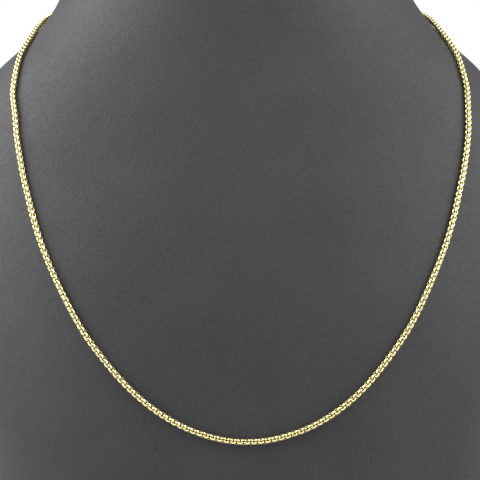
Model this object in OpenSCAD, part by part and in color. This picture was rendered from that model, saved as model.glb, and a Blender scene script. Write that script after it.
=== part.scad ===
// A fine box chain necklace lying on a plain neck bust.
// Millimetres, +Z up, the bust's front towards -Y, the origin at the middle of the base.

/* [Neck bust] */
// Radius of the rounded edge at the top of the neck
top_round = 12; // [8:1:16]
// Radius of the rounded edge round the base
base_round = 3; // [2:0.5:5]
// Flat sides round each level of the bust
bust_sides = 60; // [48:4:72]

/* [Chain] */
// Width of the chain across its flats
chain_w = 2.0; // [1.6:0.1:2.4]
// Clear gap between the chain and the bust
chain_gap = 0.3; // [0.3:0.05:0.6]
// Turn of the loop's lowest point off the middle, in degrees
chain_sway = -0.45; // [-2:0.05:2]
// Rings of points along the chain
chain_rings = 80; // [60:1:80]

/* [Clasp] */
// Half of the gap that the clasp and its rings span at the nape
clasp_reach = 8.6; // [8.4:0.1:9]
// Height of the clasp's middle off the bust
clasp_stand = 1.95; // [1.95:0.05:2.5]
// Mid radius of the clasp's hook
hook_r = 1.9; // [1.8:0.1:2]
// Thickness of the clasp's hook
hook_d = 1.3; // [1.1:0.1:1.4]
// Mid radius of the clasp's eye
eye_r = 1.2; // [1.15:0.05:1.3]
// Thickness of the clasp's eye
eye_d = 0.8; // [0.7:0.1:0.8]
// Widest part of the clasp's body
clasp_body_w = 2.6; // [2.2:0.1:2.8]
// Mid radius of the jump rings
ring_r = 1.9; // [1.85:0.05:1.95]
// Wire of the jump rings
ring_d = 0.6; // [0.5:0.05:0.6]
// Lean of the jump rings away from the bust, in degrees
ring_lean = 55; // [52:1:58]

/* [Hidden] */

leatherette = "#55565a";
gold = "#d9b45c";

// Bust sections, each a pair of half ovals that share the widest line
Z = 0;       // height
HALF = 1;    // half width
FRONT = 2;   // front of the section
WIDE = 3;    // where the section is widest
BACK = 4;    // back of the section
SQUARE = 5;  // 2 is an ellipse, more is squarer
sections = [
    [0,    75,   -56,   -2,   51, 2.6],
    [45,   86,   -65,   -3,   59, 2.5],
    [90,   94,   -68,   -3,   65, 2.4],
    [130, 101,   -65,   -1,   68, 2.4],
    [165, 105,   -56.5,  5.5, 70, 2.4],
    [190, 106,   -47,   12,   70, 2.4],
    [205, 100,   -41.5, 15.5, 69, 2.4],
    [220,  90.5, -36,   18,   68, 2.3],
    [235,  75,   -31.5, 20,   66, 2.2],
    [250,  65,   -27.5, 21,   64, 2.1],
    [270,  61,   -24,   21,   63, 2.0],
    [300,  54,   -21,   22,   62, 2.0]
];

// The chain's way over the right half of the bust, from the lowest point to the nape
ANGLE = 0;   // degrees round the section from the front
HEIGHT = 1;  // height
half_route = [
    [0,    97.5],
    [6,   100],
    [12,  105.5],
    [18,  114],
    [24,  125.5],
    [28,  135],
    [32.5, 150],
    [36.5, 165],
    [39.5, 180],
    [43,  195],
    [50,  210],
    [61.5, 225],
    [90,  241.5],
    [135, 250],
    [180, 253]
];

// Bust levels: start, end and step of each stretch, closest where the neck flares
level_runs = [[8, 176, 14], [186, 216, 6], [220, 260, 4], [266, 278, 6]];
edge_steps = 4;

bust_h = sections[len(sections) - 1][Z];
route_steps = 14;
route_end = len(half_route) - 1;
chain_sides = 8;
sway_spread = 30;
slope_angle = 0.25;
slope_height = 0.05;
fine_fn = 40;

// A power that keeps the sign, for squarish ovals
function signed_power(v, e) = sign(v) * pow(abs(v), e);

function unit(v) = v / norm(v);

// Row of the sections table that starts the stretch holding height z
function section_row(z, i = 0) =
    i >= len(sections) - 2 || z < sections[i + 1][Z] ? i : section_row(z, i + 1);

// Slope of one column at row i, from its neighbours
function column_slope(col, i) =
    let (low = max(i - 1, 0))
    let (high = min(i + 1, len(sections) - 1))
    (sections[high][col] - sections[low][col]) / (sections[high][Z] - sections[low][Z]);

// A column of the sections table at height z, as a smooth cubic
function column_at(col, z) =
    let (i = section_row(z))
    let (span = sections[i + 1][Z] - sections[i][Z])
    let (u = (z - sections[i][Z]) / span)
    (2 * u^3 - 3 * u^2 + 1) * sections[i][col]
        + (u^3 - 2 * u^2 + u) * span * column_slope(col, i)
        + (3 * u^2 - 2 * u^3) * sections[i + 1][col]
        + (u^3 - u^2) * span * column_slope(col, i + 1);

// Point of the bust's surface, inset from the section's outline
function bust_point(angle, z, inset = 0) =
    let (power = 2 / column_at(SQUARE, z))
    let (wide = column_at(WIDE, z))
    let (reach = cos(angle) >= 0 ? wide - column_at(FRONT, z) : column_at(BACK, z) - wide)
    [
        (column_at(HALF, z) - inset) * signed_power(sin(angle), power),
        wide - (reach - inset) * signed_power(cos(angle), power),
        z
    ];

// Outward direction of the bust's surface
function bust_normal(angle, z) =
    let (round_step = bust_point(angle + slope_angle, z) - bust_point(angle - slope_angle, z))
    let (up_step = bust_point(angle, z + slope_height) - bust_point(angle, z - slope_height))
    unit(cross(round_step, up_step));

// Rows of the whole loop, from nape to nape round the front, with one steering row past each end
past_nape = [360 - half_route[route_end - 1][ANGLE], half_route[route_end - 1][HEIGHT]];
right_rows = concat(half_route, [past_nape]);
loop_rows = [
    for (i = [len(right_rows) - 1 : -1 : 1]) [-right_rows[i][ANGLE], right_rows[i][HEIGHT]],
    each right_rows
];

// Smooth curve through the rows, between rows i and i + 1
function route_between(i, u) =
    let (a = loop_rows[i - 1])
    let (b = loop_rows[i])
    let (c = loop_rows[i + 1])
    let (d = loop_rows[i + 2])
    0.5 * (2 * b + (c - a) * u + (2 * a - 5 * b + 4 * c - d) * u^2 + (3 * b - a - 3 * c + d) * u^3);

// The loop's own angles and heights, with the lowest point turned off the middle
route = [
    for (i = [1 : 2 * route_end])
        for (k = [0 : route_steps - (i == 2 * route_end ? 0 : 1)])
            let (row = route_between(i, k / route_steps))
            [row[ANGLE] + chain_sway * exp(-(row[ANGLE] / sway_spread)^2), row[HEIGHT]]
];

// Middle line of the chain, and its running length
stand = chain_w / 2 + chain_gap;
line = [for (p = route) bust_point(p[ANGLE], p[HEIGHT]) + stand * bust_normal(p[ANGLE], p[HEIGHT])];
normals = [for (p = route) bust_normal(p[ANGLE], p[HEIGHT])];
function step_before(i) = i < len(line) ? norm(line[i] - line[i - 1]) : 0;
lengths = [for (i = 0, s = 0; i < len(line); i = i + 1, s = s + step_before(i)) s];
loop_length = lengths[len(lengths) - 1];

// Stretch of the middle line that holds length s, between two halves of the list
function stretch_at(s, low, high) =
    let (mid = floor((low + high) / 2))
    high - low <= 1 ? low
        : s < lengths[mid] ? stretch_at(s, low, mid)
        : stretch_at(s, mid, high);

// Value of a list that runs with the middle line, at length s
function along(list, s) =
    let (i = stretch_at(s, 0, len(lengths) - 1))
    let (u = (s - lengths[i]) / (lengths[i + 1] - lengths[i]))
    list[i] * (1 - u) + list[i + 1] * u;

// One ring of points round the chain at length s
function chain_ring(s, ahead) =
    let (tangent = unit(along(line, min(s + ahead, loop_length)) - along(line, max(s - ahead, 0))))
    let (rough = along(normals, s))
    let (up = unit(rough - (rough * tangent) * tangent))
    let (side = cross(tangent, up))
    [
        for (k = [0 : chain_sides - 1])
            let (turn = 360 * (k + 0.5) / chain_sides)
            along(line, s) + chain_w / 2 * (cos(turn) * up + sin(turn) * side)
    ];

// Skin over equal rings of points, closed by a flat cap at each end
module ring_skin(rings) {
    count = len(rings[0]);
    last = (len(rings) - 1) * count;
    polyhedron(
        points = [for (ring = rings) each ring],
        faces = [
            [for (k = [0 : count - 1]) k],
            for (i = [0 : len(rings) - 2])
                for (k = [0 : count - 1])
                    let (low = i * count + k)
                    let (low_next = i * count + (k + 1) % count)
                    each [[low, low + count, low_next], [low_next, low + count, low_next + count]],
            [for (k = [count - 1 : -1 : 0]) last + k]
        ],
        convexity = 6
    );
}

// Display form: shoulders, a flared neck and rounded edges at the top and base
module neck_bust() {
    base_levels = [
        for (k = [0 : edge_steps])
            let (turn = 90 * k / edge_steps)
            [base_round * (1 - cos(turn)), base_round * (1 - sin(turn))]
    ];
    top_levels = [
        for (k = [0 : edge_steps])
            let (turn = 90 * k / edge_steps)
            [bust_h - top_round * (1 - sin(turn)), top_round * (1 - cos(turn))]
    ];
    side_levels = [for (run = level_runs) for (z = [run[0] : run[2] : run[1]]) [z, 0]];
    levels = concat(base_levels, side_levels, top_levels);
    color(leatherette)
        ring_skin([
            for (level = levels)
                [for (k = [0 : bust_sides - 1]) bust_point(360 * k / bust_sides, level[0], level[1])]
        ]);
}

// The whole loop of fine links as one eight-sided cord, open at the nape for the clasp
module chain() {
    spacing = (loop_length - 2 * clasp_reach) / (chain_rings - 1);
    color(gold)
        ring_skin([for (k = [0 : chain_rings - 1]) chain_ring(clasp_reach + k * spacing, spacing / 2)]);
}

// A round-wired ring lying in the XZ plane
module wire_ring(mid_r, wire_d) {
    rotate([90, 0, 0])
        rotate_extrude($fn = fine_fn)
            translate([mid_r, 0])
                circle(d = wire_d, $fn = fine_fn / 2);
}

// The clasp and its rings are drawn about the clasp's middle, then seated at the nape
nape_z = half_route[route_end][HEIGHT];
nape_normal = bust_normal(180, nape_z);
nape_place = bust_point(180, nape_z) + clasp_stand * nape_normal;

// Places along X, from the eye's ring on the left to the hook's ring on the right
ring_play = 0.3;
hook_x = 3.4;
eye_x = -4.1;
body_from = -3.4;
body_to = 1.6;
end_ring_x = hook_x + hook_r - hook_d / 2 - ring_play - ring_d / 2 + ring_r;
clasp_ring_x = eye_x - ring_r;

// Barrel of the clasp, between the eye and the hook
module clasp_barrel() {
    length = body_to - body_from;
    translate([body_from, 0, 0])
        rotate([0, 90, 0])
            rotate_extrude($fn = fine_fn)
                polygon([
                    [0, 0],
                    for (k = [1 : 9]) [clasp_body_w / 2 * sin(180 * k / 10)^0.5, length * k / 10],
                    [0, length]
                ]);
}

// Lobster clasp in one piece: eye, barrel and closed hook
module clasp() {
    color(gold)
        translate(nape_place) {
            translate([eye_x, 0, 0]) wire_ring(eye_r, eye_d);
            clasp_barrel();
            translate([hook_x, 0, 0]) wire_ring(hook_r, hook_d);
        }
}

// Jump ring leaning off the bust, at a place along X
module jump_ring(x) {
    color(gold)
        translate(nape_place + [x, 0, 0])
            rotate([ring_lean, 0, 0])
                wire_ring(ring_r, ring_d);
}

// Ring between the chain's end and the clasp's eye
module clasp_ring() {
    jump_ring(clasp_ring_x);
}

// Ring at the chain's other end, caught in the clasp's hook
module end_ring() {
    jump_ring(end_ring_x);
}

neck_bust();
chain();
clasp();
clasp_ring();
end_ring();
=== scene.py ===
import math

import bmesh
import bpy
from mathutils import Matrix, Vector


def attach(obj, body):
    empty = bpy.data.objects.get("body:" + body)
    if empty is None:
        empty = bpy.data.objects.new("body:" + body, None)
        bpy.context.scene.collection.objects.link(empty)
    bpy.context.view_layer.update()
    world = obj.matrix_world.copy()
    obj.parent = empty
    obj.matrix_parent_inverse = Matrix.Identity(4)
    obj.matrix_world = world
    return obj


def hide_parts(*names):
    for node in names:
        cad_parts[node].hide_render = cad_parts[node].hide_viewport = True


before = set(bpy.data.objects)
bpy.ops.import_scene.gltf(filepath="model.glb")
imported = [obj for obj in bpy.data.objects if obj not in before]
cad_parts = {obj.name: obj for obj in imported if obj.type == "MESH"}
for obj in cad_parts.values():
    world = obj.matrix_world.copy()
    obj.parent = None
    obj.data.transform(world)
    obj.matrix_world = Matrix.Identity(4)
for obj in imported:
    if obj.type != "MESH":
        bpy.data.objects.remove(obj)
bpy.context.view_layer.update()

MM = 0.001

# Bust sections, each a pair of half ovals that share the widest line, in millimetres
Z, HALF, FRONT, WIDE, BACK, SQUARE = range(6)
SECTIONS = [
    (0, 75, -56, -2, 51, 2.6),
    (45, 86, -65, -3, 59, 2.5),
    (90, 94, -68, -3, 65, 2.4),
    (130, 101, -65, -1, 68, 2.4),
    (165, 105, -56.5, 5.5, 70, 2.4),
    (190, 106, -47, 12, 70, 2.4),
    (205, 100, -41.5, 15.5, 69, 2.4),
    (220, 90.5, -36, 18, 68, 2.3),
    (235, 75, -31.5, 20, 66, 2.2),
    (250, 65, -27.5, 21, 64, 2.1),
    (270, 61, -24, 21, 63, 2.0),
    (300, 54, -21, 22, 62, 2.0),
]
BUST_HEIGHT = SECTIONS[-1][Z]
TOP_ROUND = 12
BASE_ROUND = 3

# How finely the bust's cover is meshed
COVER_SIDES = 160
LEVEL_STEP = 3.0
EDGE_STEPS = 8

# Steps over which the bust's outward direction is measured, in degrees and millimetres
ANGLE_STEP = 0.25
HEIGHT_STEP = 0.05

# The chain's way over the right half of the bust: degrees round the section, height
HALF_ROUTE = [
    (0, 97.5), (6, 100), (12, 105.5), (18, 114), (24, 125.5), (28, 135), (32.5, 150), (36.5, 165),
    (39.5, 180), (43, 195), (50, 210), (61.5, 225), (90, 241.5), (135, 250), (180, 253),
]
ROUTE_STEPS = 60

# Low on the chest the chain lies a little to one side, in degrees round the section
CHAIN_SWAY = -0.45
SWAY_SPREAD = 30

# How far the chain's middle line stands off the bust, in millimetres
CHAIN_STAND = 1.11

# How far the chain lies outside its even route: share of the way from end to end, millimetres
CHAIN_DRIFT = [
    (0, 0), (0.15, 0), (0.205, 0.7), (0.234, 0.6), (0.259, -0.25), (0.279, -0.37), (0.352, 0.62),
    (0.385, 0.2), (0.426, 0.44), (0.48, 0.17), (0.559, 0.8), (0.612, 0.18), (0.656, 0.53),
    (0.689, 0.4), (0.746, 0.8), (0.782, 0.74), (0.828, 0), (1, 0),
]

# The first and last links lie this far from the nape, and rise to where the clasp's rings thread them
CLASP_RING_REACH = 8.11
END_RING_REACH = 8.03
END_LIFT = 1.12
LIFT_SPREAD = 9

# One link of the chain, in millimetres
LINK_COUNT = 541
LINK_PITCH = 1.10
LINK_WIDTH = 2.05
BAND_THICK = 0.37
BAND_WIDE = 0.85
EDGE_BEVEL = 0.12
LINK_PLAY = 0.11
LINK_LENGTH = LINK_PITCH + 2 * BAND_THICK + LINK_PLAY
CORNER_ROUND = 0.46
CORNER_STEPS = 2

# Each link turns loosely by up to this many degrees
SLACK_TURN = 1.5
SLACK_SEED = 7

# The named inputs of the tree that makes the links, in metres and radians
LINK_SIZES = {
    "Link length": LINK_LENGTH * MM,
    "Link width": LINK_WIDTH * MM,
    "Band thickness": BAND_THICK * MM,
    "Band width": BAND_WIDE * MM,
    "Edge bevel": EDGE_BEVEL * MM,
    "Corner radius": CORNER_ROUND * MM,
    "Slack turn": math.radians(SLACK_TURN),
}

# The chain's own slow twist: share of the way from the left end to the right, degrees
CHAIN_TWIST = [
    (0, 125), (0.045, 125), (0.146, 108), (0.214, 108), (0.231, 112), (0.247, 124), (0.264, 120),
    (0.281, 126), (0.315, 135), (0.348, 130), (0.365, 106), (0.382, 121), (0.399, 134), (0.433, 134),
    (0.458, 141), (0.475, 124), (0.5, 124), (0.525, 131), (0.551, 129), (0.601, 126), (0.618, 124),
    (0.635, 118), (0.652, 111), (0.668, 99), (0.685, 90), (0.719, 88), (0.753, 75), (0.769, 70),
    (0.786, 100), (0.803, 104), (0.82, 95), (0.837, 85), (0.955, 125), (1, 125),
]

# Gold: its colour outside the links and its darker colour inside them, which is painted shade between the
# links, its roughness at best and worst, and how much duller (rougher) the inside is
GOLD_POLISHED = (0.93, 0.83, 0.425, 1)
GOLD_INSIDE_PAINTED_SHADE = (0.27, 0.22, 0.075, 1)
GOLD_ROUGHNESS = (0.12, 0.24)
INSIDE_DULLER = 0.15
POLISH_GRAIN = 900

# Leatherette: its darkest and palest grey, its roughness, the scales and depth of its grain, and how
# strongly painted shade darkens the creases between its pebbles
GREY_DARK = (0.0175, 0.0175, 0.0195, 1)
GREY_PALE = (0.0305, 0.0305, 0.0335, 1)
GREY_ROUGHNESS = (0.5, 0.7)
GREY_SPECULAR = 0.35
PATCH_SCALE = 45
PEBBLE_SCALE = 1300
CREASE_SCALE = 700
# How much darker the creases between the pebbles are painted, as painted shade
PEBBLE_CREASE_PAINTED_SHADE = -0.9
PEBBLE_HEIGHT = -0.8
GRAIN_DEPTH = 0.00007

# Stage: the floor in metres, how white the backdrop is, and how strongly the world lights the bust
FLOOR_RADIUS = 0.8
FLOOR_DROP = 0.0005
FLOOR_SIDES = 96
FLOOR_COLOUR = (0.6, 0.6, 0.6, 1)
FLOOR_ROUGHNESS = 0.8
BACKDROP_STRENGTH = 1.0
FILL_STRENGTH = 0.5

# Softboxes stand round the bust, in metres: name, bearing from the front, rise, watts
LIGHT_CENTRE = Vector((0, 0, 0.17))
LIGHT_DISTANCE = 1.2
LIGHT_SIZE = 1.3
LIGHTS = [
    ("left_light", -84, 32, 27.5),
    ("high_left_light", -75, 54, 7),
    ("right_light", 70, 32, 21),
]

# The camera's place was worked out from the chain's path in the photograph, in millimetres and degrees
AIM = Vector((-2.55, -68, 161.6))
AIM_DISTANCE = 476.6
CAMERA_YAW = 1.94
CAMERA_PITCH = 1.94
CAMERA_ROLL = -0.78
FOCAL_PIXELS = 1500
FRAME_PIXELS = 480
SENSOR = 36
NEAREST_SEEN = 0.01


# The bust's form

def signed_power(value, power):
    """A power that keeps the sign, for squarish ovals."""
    return math.copysign(abs(value) ** power, value)


def column_slope(column, i):
    """Slope of one column of the sections at row i, from its neighbours."""
    low = SECTIONS[max(i - 1, 0)]
    high = SECTIONS[min(i + 1, len(SECTIONS) - 1)]
    return (high[column] - low[column]) / (high[Z] - low[Z])


def column_at(column, z):
    """A column of the sections at height z, as a smooth cubic."""
    i = 0
    while i < len(SECTIONS) - 2 and z >= SECTIONS[i + 1][Z]:
        i += 1
    span = SECTIONS[i + 1][Z] - SECTIONS[i][Z]
    u = (z - SECTIONS[i][Z]) / span
    return (
        (2 * u**3 - 3 * u**2 + 1) * SECTIONS[i][column]
        + (u**3 - 2 * u**2 + u) * span * column_slope(column, i)
        + (3 * u**2 - 2 * u**3) * SECTIONS[i + 1][column]
        + (u**3 - u**2) * span * column_slope(column, i + 1)
    )


def bust_point(angle, z, inset=0.0):
    """Point of the bust's surface, inset from the section's outline, in millimetres."""
    turn = math.radians(angle)
    power = 2 / column_at(SQUARE, z)
    wide = column_at(WIDE, z)
    reach = wide - column_at(FRONT, z) if math.cos(turn) >= 0 else column_at(BACK, z) - wide
    return Vector((
        (column_at(HALF, z) - inset) * signed_power(math.sin(turn), power),
        wide - (reach - inset) * signed_power(math.cos(turn), power),
        z,
    ))


def bust_normal(angle, z):
    """Outward direction of the bust's surface."""
    around = bust_point(angle + ANGLE_STEP, z) - bust_point(angle - ANGLE_STEP, z)
    upward = bust_point(angle, z + HEIGHT_STEP) - bust_point(angle, z - HEIGHT_STEP)
    return around.cross(upward).normalized()


# The chain's route

def route_rows():
    """The loop's rows from nape to nape round the front, with one steering row past each end."""
    past_nape = (360 - HALF_ROUTE[-2][0], HALF_ROUTE[-2][1])
    right = HALF_ROUTE + [past_nape]
    left = [(-angle, height) for angle, height in reversed(right[1:])]
    return [Vector(row) for row in left + right]


def smooth_row(a, b, c, d, u):
    """The row a share u of the way from b to c, on a smooth curve that a and d steer."""
    return 0.5 * (
        2 * b + (c - a) * u + (2 * a - 5 * b + 4 * c - d) * u**2 + (3 * b - a - 3 * c + d) * u**3
    )


def chain_line():
    """Closely spaced points on the bust under the chain, and its outward direction at each."""
    rows = route_rows()
    points = []
    normals = []
    last = len(rows) - 3
    for i in range(1, last + 1):
        for k in range(ROUTE_STEPS + (i == last)):
            angle, height = smooth_row(*rows[i - 1 : i + 3], k / ROUTE_STEPS)
            angle += CHAIN_SWAY * math.exp(-((angle / SWAY_SPREAD) ** 2))
            points.append(bust_point(angle, height))
            normals.append(bust_normal(angle, height))
    return points, normals


def running_lengths(points):
    """Length along the points up to each one."""
    lengths = [0.0]
    for before, after in zip(points, points[1:]):
        lengths.append(lengths[-1] + (after - before).length)
    return lengths


def eased(table, share):
    """A table's value at a share of the way, with a gentle change between its rows."""
    for (low, before), (high, after) in zip(table, table[1:]):
        if share <= high:
            u = (share - low) / (high - low)
            return before + (after - before) * u * u * (3 - 2 * u)
    return table[-1][1]


def middle_line(points, normals):
    """The chain's middle line: off the bust, moved by its drift and raised at the clasp's rings."""
    line = [point + CHAIN_STAND * normal for point, normal in zip(points, normals)]
    lengths = running_lengths(line)
    moved = []
    for i, s in enumerate(lengths):
        along = line[min(i + 1, len(line) - 1)] - line[max(i - 1, 0)]
        aside = along.cross(normals[i]).normalized()
        from_ring = max(min(s - CLASP_RING_REACH, lengths[-1] - END_RING_REACH - s), 0)
        lift = END_LIFT * math.exp(-((from_ring / LIFT_SPREAD) ** 2))
        moved.append(line[i] + eased(CHAIN_DRIFT, s / lengths[-1]) * aside + lift * normals[i])
    return moved


def link_places():
    """Middle, direction along the chain, outward direction and twist of each link, evenly spaced."""
    points, normals = chain_line()
    line = middle_line(points, normals)
    lengths = running_lengths(line)
    pitch = (lengths[-1] - CLASP_RING_REACH - END_RING_REACH) / (LINK_COUNT - 1)
    places = []
    k = 0
    for n in range(LINK_COUNT):
        s = CLASP_RING_REACH + n * pitch
        while lengths[k + 1] < s:
            k += 1
        u = (s - lengths[k]) / (lengths[k + 1] - lengths[k])
        places.append((
            line[k].lerp(line[k + 1], u),
            (line[k + 1] - line[k]).normalized(),
            normals[k].lerp(normals[k + 1], u),
            math.radians(eased(CHAIN_TWIST, n / (LINK_COUNT - 1))),
        ))
    return places


# Helpers for nodes, meshes and objects

def add_node(tree, kind, **settings):
    """A new node in a tree, with its settings."""
    made = tree.nodes.new(kind)
    for name, value in settings.items():
        setattr(made, name, value)
    return made


def join(tree, start, end):
    """A wire from one socket to another."""
    tree.links.new(start, end)


def add_math(tree, operation, *terms):
    """The result of a sum in a tree. Each term is another node's socket or a plain number."""
    made = add_node(tree, "ShaderNodeMath", operation=operation)
    for term, target in zip(terms, made.inputs):
        if isinstance(term, bpy.types.NodeSocket):
            join(tree, term, target)
        else:
            target.default_value = term
    return made.outputs[0]


def set_inputs(modifier, tree, values):
    """Sets a modifier's named inputs by their sockets' identifiers."""
    for item in tree.interface.items_tree:
        if item.in_out == "INPUT" and item.name in values:
            modifier[item.identifier] = values[item.name]


def new_object(name, data):
    """A new object in the scene, at the origin."""
    made = bpy.data.objects.new(name, data)
    bpy.context.scene.collection.objects.link(made)
    return made


def plain_mesh(source, name):
    """The evaluated mesh of an object as an object of its own."""
    bpy.context.view_layer.update()
    graph = bpy.context.evaluated_depsgraph_get()
    mesh = bpy.data.meshes.new_from_object(source.evaluated_get(graph))
    mesh.name = name
    return new_object(name, mesh)


# Chain, made of links on the route

def band_section(tree, start):
    """The band's flat section, with its outer edges bevelled and its inner ones marked."""
    strip = add_node(tree, "GeometryNodeCurvePrimitiveQuadrilateral")
    join(tree, start.outputs["Band thickness"], strip.inputs["Width"])
    join(tree, start.outputs["Band width"], strip.inputs["Height"])
    across = add_node(tree, "ShaderNodeSeparateXYZ")
    join(tree, add_node(tree, "GeometryNodeInputPosition").outputs[0], across.inputs[0])

    # Only the two edges of the outer face are bevelled
    outer = add_node(tree, "FunctionNodeCompare", operation="GREATER_THAN")
    join(tree, across.outputs["X"], outer.inputs[0])
    bevelled = add_node(tree, "GeometryNodeFilletCurve", mode="POLY")
    join(tree, strip.outputs["Curve"], bevelled.inputs["Curve"])
    join(tree, outer.outputs[0], bevelled.inputs["Count"])
    join(tree, start.outputs["Edge bevel"], bevelled.inputs["Radius"])

    # The inner edges are marked: the inside of a link is less polished, so it is rougher, and it is also
    # coloured darker as painted shade between the links
    inner = add_node(tree, "FunctionNodeCompare", operation="LESS_THAN")
    join(tree, across.outputs["X"], inner.inputs[0])
    marked = add_node(tree, "GeometryNodeStoreNamedAttribute", data_type="FLOAT", domain="POINT")
    marked.inputs["Name"].default_value = "inside"
    join(tree, bevelled.outputs["Curve"], marked.inputs["Geometry"])
    join(tree, inner.outputs[0], marked.inputs["Value"])
    return marked.outputs["Geometry"]


def link_band(tree, start):
    """One link: the band's section carried round a loop with rounded corners."""
    loop = add_node(tree, "GeometryNodeCurvePrimitiveQuadrilateral")
    for name, side in (("Link length", "Width"), ("Link width", "Height")):
        middle = add_math(tree, "SUBTRACT", start.outputs[name], start.outputs["Band thickness"])
        join(tree, middle, loop.inputs[side])
    corners = add_node(tree, "GeometryNodeFilletCurve", mode="POLY")
    corners.inputs["Count"].default_value = CORNER_STEPS
    join(tree, loop.outputs["Curve"], corners.inputs["Curve"])
    join(tree, start.outputs["Corner radius"], corners.inputs["Radius"])
    upright = add_node(tree, "GeometryNodeSetCurveNormal", mode="Z_UP")
    join(tree, corners.outputs["Curve"], upright.inputs["Curve"])
    band = add_node(tree, "GeometryNodeCurveToMesh")
    join(tree, upright.outputs["Curve"], band.inputs["Curve"])
    join(tree, band_section(tree, start), band.inputs["Profile Curve"])
    return band.outputs["Mesh"]


def route_value(tree, name, kind):
    """A value that the route's points carry."""
    attribute = add_node(tree, "GeometryNodeInputNamedAttribute", data_type=kind)
    attribute.inputs["Name"].default_value = name
    return attribute.outputs["Attribute"]


def link_turn(tree, start):
    """How each link is turned: along the chain, then round it by its twist, quarter turn and slack."""
    facing = add_node(tree, "FunctionNodeAxesToRotation", primary_axis="X", secondary_axis="Y")
    join(tree, route_value(tree, "along", "FLOAT_VECTOR"), facing.inputs[0])
    join(tree, route_value(tree, "outward", "FLOAT_VECTOR"), facing.inputs[1])

    # Every second link is a quarter turn on from its neighbours, and each hangs a little loose
    odd = add_math(tree, "MODULO", add_node(tree, "GeometryNodeInputIndex").outputs[0], 2.0)
    quarter = add_math(tree, "MULTIPLY_ADD", odd, math.radians(90), route_value(tree, "twist", "FLOAT"))
    loose = add_node(tree, "FunctionNodeRandomValue", data_type="FLOAT")
    loose.inputs["Seed"].default_value = SLACK_SEED
    join(tree, add_math(tree, "MULTIPLY", start.outputs["Slack turn"], -1.0), loose.inputs[2])
    join(tree, start.outputs["Slack turn"], loose.inputs[3])

    turn = add_node(tree, "FunctionNodeAxisAngleToRotation")
    turn.inputs["Axis"].default_value = (1, 0, 0)
    join(tree, add_math(tree, "ADD", quarter, loose.outputs[1]), turn.inputs["Angle"])
    rolled = add_node(tree, "FunctionNodeRotateRotation", rotation_space="LOCAL")
    join(tree, facing.outputs[0], rolled.inputs[0])
    join(tree, turn.outputs[0], rolled.inputs[1])
    return rolled.outputs[0]


def link_tree(gold):
    """Geometry Nodes that set a rounded band link at each place of the route."""
    tree = bpy.data.node_groups.new("box_links", "GeometryNodeTree")
    tree.interface.new_socket("Route", in_out="INPUT", socket_type="NodeSocketGeometry")
    for name in LINK_SIZES:
        tree.interface.new_socket(name, in_out="INPUT", socket_type="NodeSocketFloat")
    tree.interface.new_socket("Chain", in_out="OUTPUT", socket_type="NodeSocketGeometry")
    start = add_node(tree, "NodeGroupInput")
    end = add_node(tree, "NodeGroupOutput")

    placed = add_node(tree, "GeometryNodeInstanceOnPoints")
    join(tree, start.outputs["Route"], placed.inputs["Points"])
    join(tree, link_band(tree, start), placed.inputs["Instance"])
    join(tree, link_turn(tree, start), placed.inputs["Rotation"])
    real = add_node(tree, "GeometryNodeRealizeInstances")
    join(tree, placed.outputs["Instances"], real.inputs["Geometry"])
    smooth = add_node(tree, "GeometryNodeSetShadeSmooth")
    join(tree, real.outputs["Geometry"], smooth.inputs["Geometry"])
    finish = add_node(tree, "GeometryNodeSetMaterial")
    finish.inputs["Material"].default_value = gold
    join(tree, smooth.outputs["Geometry"], finish.inputs["Geometry"])
    join(tree, finish.outputs["Geometry"], end.inputs["Chain"])
    return tree


def route_mesh():
    """A mesh with a loose point at each link's middle, which carries the link's directions and twist."""
    middles, alongs, outwards, twists = zip(*link_places())
    mesh = bpy.data.meshes.new("chain_route")
    mesh.from_pydata([middle * MM for middle in middles], [], [])
    for name, directions in (("along", alongs), ("outward", outwards)):
        attribute = mesh.attributes.new(name, "FLOAT_VECTOR", "POINT")
        for item, direction in zip(attribute.data, directions):
            item.vector = direction
    attribute = mesh.attributes.new("twist", "FLOAT", "POINT")
    for item, twist in zip(attribute.data, twists):
        item.value = twist
    return mesh


def make_chain(gold):
    """The whole loop of interlocked box links."""
    route = new_object("chain_route", route_mesh())
    tree = link_tree(gold)
    modifier = route.modifiers.new("links", "NODES")
    modifier.node_group = tree
    set_inputs(modifier, tree, LINK_SIZES)
    chain = plain_mesh(route, "chain_links")
    route.modifiers.clear()
    bpy.data.objects.remove(route)
    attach(chain, "root")
    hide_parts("chain")


# Neck bust

def edge_turns():
    """The angles at which a rounded edge is drawn."""
    return [math.radians(90 * k / EDGE_STEPS) for k in range(EDGE_STEPS + 1)]


def bust_levels():
    """Height and inset of each level, with the edges at the base and top rounded over."""
    levels = []
    for turn in edge_turns():
        levels.append((BASE_ROUND * (1 - math.cos(turn)), BASE_ROUND * (1 - math.sin(turn))))
    z = BASE_ROUND + LEVEL_STEP
    while z < BUST_HEIGHT - TOP_ROUND - LEVEL_STEP / 2:
        levels.append((z, 0.0))
        z += LEVEL_STEP
    for turn in edge_turns():
        levels.append((BUST_HEIGHT - TOP_ROUND * (1 - math.sin(turn)), TOP_ROUND * (1 - math.cos(turn))))
    return levels


def make_bust(leatherette):
    """The display form's smooth covered skin, closed at the base and the top."""
    mesh = bpy.data.meshes.new("bust_cover")
    build = bmesh.new()
    rings = []
    for z, inset in bust_levels():
        points = [bust_point(360 * k / COVER_SIDES, z, inset) for k in range(COVER_SIDES)]
        rings.append([build.verts.new(point * MM) for point in points])
    for low, high in zip(rings, rings[1:]):
        for k in range(COVER_SIDES):
            n = (k + 1) % COVER_SIDES
            build.faces.new((low[k], low[n], high[n], high[k]))
    build.faces.new(list(reversed(rings[0])))
    build.faces.new(rings[-1])
    bmesh.ops.recalc_face_normals(build, faces=build.faces)
    for face in build.faces:
        face.smooth = len(face.verts) == 4
    build.to_mesh(mesh)
    build.free()
    mesh.materials.append(leatherette)
    cover = new_object("bust_cover", mesh)
    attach(cover, "root")
    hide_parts("neck_bust")


# Materials

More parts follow.
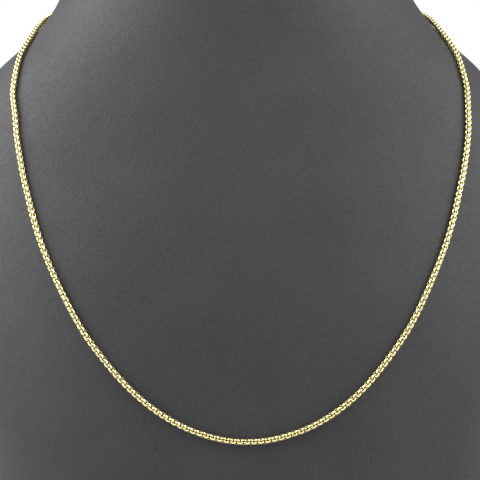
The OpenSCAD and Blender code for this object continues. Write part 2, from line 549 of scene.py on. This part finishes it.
def new_material(name):
    """A material with its tree, shader and Object coordinates."""
    material = bpy.data.materials.new(name)
    material.use_nodes = True
    tree = material.node_tree
    shader = tree.nodes["Principled BSDF"]
    place = add_node(tree, "ShaderNodeTexCoord").outputs["Object"]
    return material, tree, shader, place


def add_noise(tree, place, scale, detail=4):
    """An uneven pattern over a piece."""
    noise = add_node(tree, "ShaderNodeTexNoise")
    noise.inputs["Scale"].default_value = scale
    noise.inputs["Detail"].default_value = detail
    join(tree, place, noise.inputs["Vector"])
    return noise.outputs[0]


def add_range(tree, value, low, high, start=0, end=1):
    """A value that runs from start to end, spread between low and high."""
    spread = add_node(tree, "ShaderNodeMapRange")
    spread.inputs["From Min"].default_value = start
    spread.inputs["From Max"].default_value = end
    spread.inputs["To Min"].default_value = low
    spread.inputs["To Max"].default_value = high
    join(tree, value, spread.inputs["Value"])
    return spread.outputs[0]


def add_mix(tree, share, first, second):
    """A colour between two, by a share."""
    mix = add_node(tree, "ShaderNodeMix", data_type="RGBA")
    mix.inputs["A"].default_value = first
    mix.inputs["B"].default_value = second
    join(tree, share, mix.inputs["Factor"])
    return mix.outputs["Result"]


def make_gold():
    """Polished pale yellow gold, with a faintly uneven polish. It is rougher inside the links, and
    painted darker there as shade between the links.
    """
    material, tree, shader, place = new_material("yellow_gold")
    shader.inputs["Metallic"].default_value = 1.0
    inside = add_node(tree, "ShaderNodeAttribute", attribute_name="inside").outputs["Fac"]
    # Inside the links the colour is darkened: painted shade between the links
    join(tree, add_mix(tree, inside, GOLD_POLISHED, GOLD_INSIDE_PAINTED_SHADE), shader.inputs["Base Color"])
    polish = add_range(tree, add_noise(tree, place, POLISH_GRAIN, detail=3), *GOLD_ROUGHNESS)
    # The added roughness inside is the real duller polish there
    join(tree, add_math(tree, "MULTIPLY_ADD", inside, INSIDE_DULLER, polish), shader.inputs["Roughness"])
    return material


def make_leatherette():
    """Matt dark grey leatherette with a very fine pebbled grain. Its colour is darker in the creases
    between the pebbles, as painted shade.
    """
    material, tree, shader, place = new_material("grey_leatherette")
    shader.inputs["Specular IOR Level"].default_value = GREY_SPECULAR
    patches = add_noise(tree, place, PATCH_SCALE)
    creases = add_noise(tree, place, CREASE_SCALE)
    pebbles = add_node(tree, "ShaderNodeTexVoronoi", feature="F1")
    pebbles.inputs["Scale"].default_value = PEBBLE_SCALE
    join(tree, place, pebbles.inputs["Vector"])
    from_pebble = pebbles.outputs["Distance"]

    # The creases between the pebbles are painted darker, which is painted shade in the grain's hollows.
    # The broad patches are the leatherette's own uneven tone.
    shade = add_math(tree, "MULTIPLY_ADD", from_pebble, PEBBLE_CREASE_PAINTED_SHADE, patches)
    paleness = add_range(tree, shade, 0, 1, start=-0.5, end=0.5)
    join(tree, add_mix(tree, paleness, GREY_DARK, GREY_PALE), shader.inputs["Base Color"])
    join(tree, add_range(tree, creases, *GREY_ROUGHNESS), shader.inputs["Roughness"])

    bump = add_node(tree, "ShaderNodeBump")
    bump.inputs["Strength"].default_value = 1.0
    bump.inputs["Distance"].default_value = GRAIN_DEPTH
    join(tree, add_math(tree, "MULTIPLY_ADD", from_pebble, PEBBLE_HEIGHT, creases), bump.inputs["Height"])
    join(tree, bump.outputs["Normal"], shader.inputs["Normal"])
    return material


# Stage: floor, light and camera

def make_floor():
    """A plain pale round floor under the bust."""
    mesh = bpy.data.meshes.new("floor")
    build = bmesh.new()
    bmesh.ops.create_circle(build, cap_ends=True, segments=FLOOR_SIDES, radius=FLOOR_RADIUS)
    build.to_mesh(mesh)
    build.free()
    material = bpy.data.materials.new("pale_floor")
    material.use_nodes = True
    shader = material.node_tree.nodes["Principled BSDF"]
    shader.inputs["Base Color"].default_value = FLOOR_COLOUR
    shader.inputs["Roughness"].default_value = FLOOR_ROUGHNESS
    mesh.materials.append(material)
    floor = new_object("floor", mesh)
    floor.location = (0, 0, -FLOOR_DROP)


def bearing_direction(bearing, rise):
    """The direction from the bust at a bearing from its front and a rise."""
    round_by = math.radians(bearing)
    up_by = math.radians(rise)
    return Vector((
        math.sin(round_by) * math.cos(up_by),
        -math.cos(round_by) * math.cos(up_by),
        math.sin(up_by),
    ))


def make_light(name, bearing, rise, power):
    """A square softbox that faces the bust."""
    away = bearing_direction(bearing, rise)
    light = bpy.data.lights.new(name, "AREA")
    light.size = LIGHT_SIZE
    light.energy = power
    lamp = new_object(name, light)
    lamp.location = LIGHT_CENTRE + LIGHT_DISTANCE * away
    lamp.rotation_euler = (-away).to_track_quat("-Z", "Y").to_euler()


def make_world():
    """A white backdrop for the camera, and a dimmer even fill for everything that it lights."""
    world = bpy.data.worlds.new("studio")
    world.use_nodes = True
    tree = world.node_tree
    seen = add_node(tree, "ShaderNodeLightPath").outputs["Is Camera Ray"]
    studio = tree.nodes["Background"]
    studio.inputs["Color"].default_value = (1, 1, 1, 1)
    join(tree, add_range(tree, seen, FILL_STRENGTH, BACKDROP_STRENGTH), studio.inputs["Strength"])
    bpy.context.scene.world = world


def make_camera():
    """A camera in front of the chest, looking slightly down."""
    yaw, pitch, roll = (math.radians(angle) for angle in (CAMERA_YAW, CAMERA_PITCH, CAMERA_ROLL))
    ahead = Vector((math.sin(yaw) * math.cos(pitch), math.cos(yaw) * math.cos(pitch), -math.sin(pitch)))
    level = Vector((math.cos(yaw), -math.sin(yaw), 0))
    over = level.cross(ahead)
    right = math.cos(roll) * level + math.sin(roll) * over
    up = math.cos(roll) * over - math.sin(roll) * level
    data = bpy.data.cameras.new("camera")
    data.sensor_width = SENSOR
    data.lens = SENSOR * FOCAL_PIXELS / FRAME_PIXELS
    data.clip_start = NEAREST_SEEN
    camera = new_object("camera", data)
    turn = Matrix((right, up, -ahead)).transposed().to_4x4()
    camera.matrix_world = Matrix.Translation((AIM - ahead * AIM_DISTANCE) * MM) @ turn
    bpy.context.scene.camera = camera


gold = make_gold()
make_bust(make_leatherette())
make_chain(gold)
for name in ("clasp", "clasp_ring", "end_ring"):
    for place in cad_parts[name].material_slots:
        place.material = gold

make_floor()
make_world()
for name, bearing, rise, power in LIGHTS:
    make_light(name, bearing, rise, power)
make_camera()
bpy.context.scene.view_settings.view_transform = "Standard"
